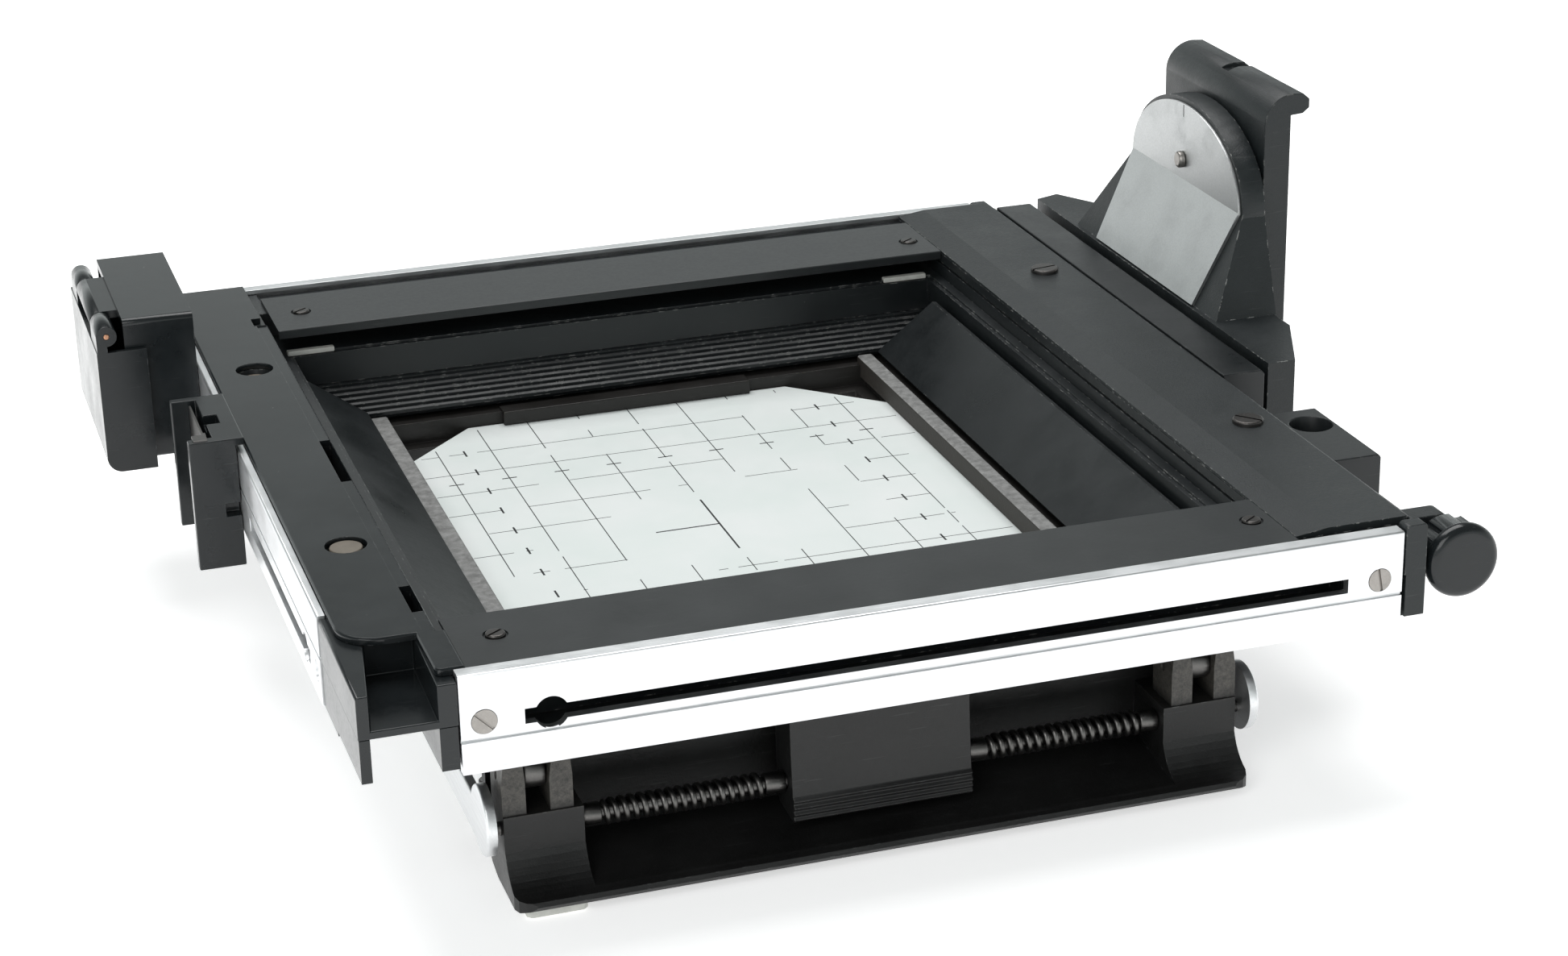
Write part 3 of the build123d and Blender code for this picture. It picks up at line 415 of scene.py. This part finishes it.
for name, obj in nodes.items():
    obj.data.materials.clear()
    look = LOOK_OF_NODE.get(name) or LOOK_OF_SLOT[slot_of[name]]
    obj.data.materials.append(look.mat)
    if name not in SHARP:
        soften(obj, EDGE_WIDTH.get(name, USUAL_EDGE))


# ---------------------------------------------------------------- pieces


def add_mesh(name, vertices, faces, look, body):
    mesh = bpy.data.meshes.new(name)
    mesh.from_pydata(vertices, [], faces)
    mesh.update()
    obj = bpy.data.objects.new(name, mesh)
    bpy.context.scene.collection.objects.link(obj)
    mesh.materials.append(look.mat)
    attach(obj, body)
    return obj


def add_bars(name, bars, look, body):
    """Thin boxes given as low and high corners in millimetres, joined into one piece."""
    vertices, faces = [], []
    for low, high in bars:
        first = len(vertices)
        for z in (low[2], high[2]):
            for x, y in ((low[0], low[1]), (high[0], low[1]), (high[0], high[1]), (low[0], high[1])):
                vertices.append((x * MM, y * MM, z * MM))
        for quad in ((3, 2, 1, 0), (4, 5, 6, 7), (0, 1, 5, 4), (1, 2, 6, 5), (2, 3, 7, 6), (3, 0, 4, 7)):
            faces.append([first + i for i in quad])
    return add_mesh(name, vertices, faces, look, body)


# Focusing grid printed on the glass: pitch and breaks in its lines, in millimetres
GRID_PITCH = 10.8
GRID_X = -3.1
GRID_Y = -5.2
INK_TOP = 0.012
COLUMN_SPANS = {
    -4: [(52.3, -16.3)],
    -3: [(61.3, -7.3), (-10.2, -62)],
    -2: [(62.4, 46), (41.8, -16.3), (-25.8, -62)],
    -1: [(62, 60), (53, 49), (38.3, 12.2), (-22.7, -50)],
    0: [(62, 52.6), (49.6, 32.2), (29.6, 12.2), (-22.9, -29.3), (-38, -60)],
    1: [(62.2, 19.7), (-22.7, -50)],
    2: [(61.8, 60), (49.6, 40.5), (38.4, 29), (23.6, 16.7), (5.6, -62)],
    3: [(61.8, 60.2), (49.6, 38.2), (33.5, 27.5), (15, 6.2), (-14.4, -44)],
    4: [(53.2, -13.3), (-14.6, -21), (-22.8, -54)],
}
ROW_SPANS = {
    5: [(-50, -46.4), (-44.2, -41), (-38.4, 18.7), (29, 43)],
    4: [(-51.5, 48.6)],
    3: [(-51.5, -30.8), (-24.5, 7.7), (29.2, 40), (41.5, 48.8)],
    2: [(-51.5, -40.8), (-35.4, -10.8), (-5, -3.1), (8.8, 19.8), (34.7, 43.5)],
    1: [(-46, -21.8), (29.4, 41)],
    0: [(-51.5, -43.7), (-41.3, -40), (18.8, 23.2), (31, 40.3)],
    -1: [(-42.6, -39.4), (-36.6, -24.4), (18.8, 39), (40.4, 41.3)],
    -2: [(-35.8, -35), (-9.8, -8), (-6, 1.7), (3, 48.8)],
    -3: [(-51.5, -20), (8, 48.8)],
    -4: [(-51.5, 48.8)],
    -5: [(-38, 34)],
}
# Half widths of the thin lines and of the bold ticks, which stand midway between lines.
# A reach is how far a tick or the cross goes from its own middle.
THIN = 0.1
BOLD = 0.2
TICK_OFFSET = 3.5 * GRID_PITCH
TICK_REACH_Y = 1.6
TICK_REACH_X = 1.5
# The bold centre cross, printed over the lines
CROSS_HALF_X = 0.19
CROSS_HALF_Y = 0.22
CROSS_REACH_Y = 13
CROSS_REACH_X = 12.7
CROSS_TOP = INK_TOP + 0.002


def grid_lines():
    for column, spans in COLUMN_SPANS.items():
        x = GRID_X + GRID_PITCH * column
        yield from (((x - THIN, min(s), 0), (x + THIN, max(s), INK_TOP)) for s in spans)
    for row, spans in ROW_SPANS.items():
        y = GRID_Y + GRID_PITCH * row
        yield from (((min(s), y - THIN, 0), (max(s), y + THIN, INK_TOP)) for s in spans)


def grid_ticks():
    for x in (GRID_X - TICK_OFFSET, GRID_X + TICK_OFFSET):
        for row in range(-5, 6):
            y = GRID_Y + GRID_PITCH * row
            yield (x - BOLD, y - TICK_REACH_Y, 0), (x + BOLD, y + TICK_REACH_Y, INK_TOP)
    for column in range(-4, 5):
        x = GRID_X + GRID_PITCH * column
        for y in (GRID_Y + TICK_OFFSET, GRID_Y - TICK_OFFSET):
            yield (x - TICK_REACH_X, y - BOLD, 0), (x + TICK_REACH_X, y + BOLD, INK_TOP)


def grid_cross():
    """An upright through the centre, and one arm to its left."""
    right = GRID_X + CROSS_HALF_X
    yield (GRID_X - CROSS_HALF_X, GRID_Y - CROSS_REACH_Y, 0), (right, GRID_Y + CROSS_REACH_Y, CROSS_TOP)
    yield (GRID_X - CROSS_REACH_X, GRID_Y - CROSS_HALF_Y, 0), (right, GRID_Y + CROSS_HALF_Y, CROSS_TOP)


grid_bars = [*grid_lines(), *grid_ticks(), *grid_cross()]
add_bars("focusing_grid", grid_bars, ink, "carrier")

# Index mark on the arched plate, in millimetres
MARK_LOW = (113.83, 40.65, 56.6)
MARK_HIGH = (113.86, 40.95, 59.2)
add_bars("index_mark", [(MARK_LOW, MARK_HIGH)], ink, "yoke")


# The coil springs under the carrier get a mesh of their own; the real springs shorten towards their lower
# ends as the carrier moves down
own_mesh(nodes["carrier_springs"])


# ---------------------------------------------------------------- stage

# In metres, except for the glow
FLOOR_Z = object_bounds()[0][2]
FLOOR_GAP = 0.0002
FLOOR_SIZE = 6
FLOOR_MIDDLE_Y = 0.6
FLOOR_GLOW = 0.55


def stage_floor():
    place = (0, FLOOR_MIDDLE_Y, FLOOR_Z - FLOOR_GAP)
    bpy.ops.mesh.primitive_plane_add(size=FLOOR_SIZE, location=place)
    floor = bpy.context.object
    floor.name = "floor"
    look = Look("floor", (0.93, 0.93, 0.93), 0.85)
    look.set("Emission Color", (1, 1, 1, 1))
    look.set("Emission Strength", FLOOR_GLOW)
    look.set("Roughness", look.span(look.noise(40, 2), 0.3, 0.7, 0.8, 0.9))
    # Seen from below the floor is clear, so that the underside shows
    back = look.nodes.new("ShaderNodeNewGeometry").outputs["Backfacing"]
    look.set("Alpha", look.math("SUBTRACT", 1.0, back))
    floor.data.materials.append(look.mat)


stage_floor()


def area_light(name, place, target, size, power, color=(1, 1, 1)):
    data = bpy.data.lights.new(name, "AREA")
    data.shape = "RECTANGLE"
    data.size, data.size_y = size
    data.energy = power
    data.color = color
    obj = bpy.data.objects.new(name, data)
    bpy.context.scene.collection.objects.link(obj)
    obj.location = place
    obj.rotation_euler = (Vector(target) - Vector(place)).to_track_quat("-Z", "Y").to_euler()


area_light("top_box", place=(0.0, 0.55, 1.5), target=(0, 0, 0), size=(1.4, 1.2), power=22)
area_light("front_box", place=(-0.9, -1.1, 0.9), target=(0, 0, 0), size=(0.9, 0.9), power=8)

# The sine of the height above the horizon at which the walls end and the ceiling starts
WALL_END = 0.12
CEILING_START = 0.48
CEILING_STRENGTH = 0.22
ROOM_COLOR = (0.94, 1, 0.99, 1)


def room():
    """Pale walls near the horizon, fading to a dark ceiling."""
    world = bpy.data.worlds.new("studio")
    world.use_nodes = True
    sky = world.node_tree
    background = sky.nodes["Background"]
    view = sky.nodes.new("ShaderNodeTexCoord")
    height = sky.nodes.new("ShaderNodeSeparateXYZ")
    fade = sky.nodes.new("ShaderNodeMapRange")
    fade.inputs["From Min"].default_value = WALL_END
    fade.inputs["From Max"].default_value = CEILING_START
    fade.inputs["To Min"].default_value = 1.0
    fade.inputs["To Max"].default_value = CEILING_STRENGTH
    sky.links.new(view.outputs["Generated"], height.inputs[0])
    sky.links.new(height.outputs["Z"], fade.inputs["Value"])
    sky.links.new(fade.outputs["Result"], background.inputs["Strength"])
    background.inputs["Color"].default_value = ROOM_COLOR
    return world


bpy.context.scene.world = room()
bpy.context.scene.view_settings.view_transform = "Standard"

# Camera place in metres and its axes in the row frame: right, down and forward
PLACE = (-0.1647, -0.55877, 0.23863)
RIGHT = Vector((0.95078, -0.309132, -0.021319))
DOWN = Vector((-0.133229, -0.34571, -0.928835))
FORWARD = Vector((0.279763, 0.885958, -0.369879))
LENS = 74.43
SENSOR_WIDTH = 36


def photo_camera():
    data = bpy.data.cameras.new("camera")
    data.lens = LENS
    data.sensor_width = SENSOR_WIDTH
    data.clip_start = 0.01
    camera = bpy.data.objects.new("camera", data)
    bpy.context.scene.collection.objects.link(camera)
    turn = Matrix((RIGHT, -DOWN, -FORWARD)).transposed()
    camera.matrix_world = Matrix.Translation(PLACE) @ turn.to_4x4()
    return camera


bpy.context.scene.camera = photo_camera()
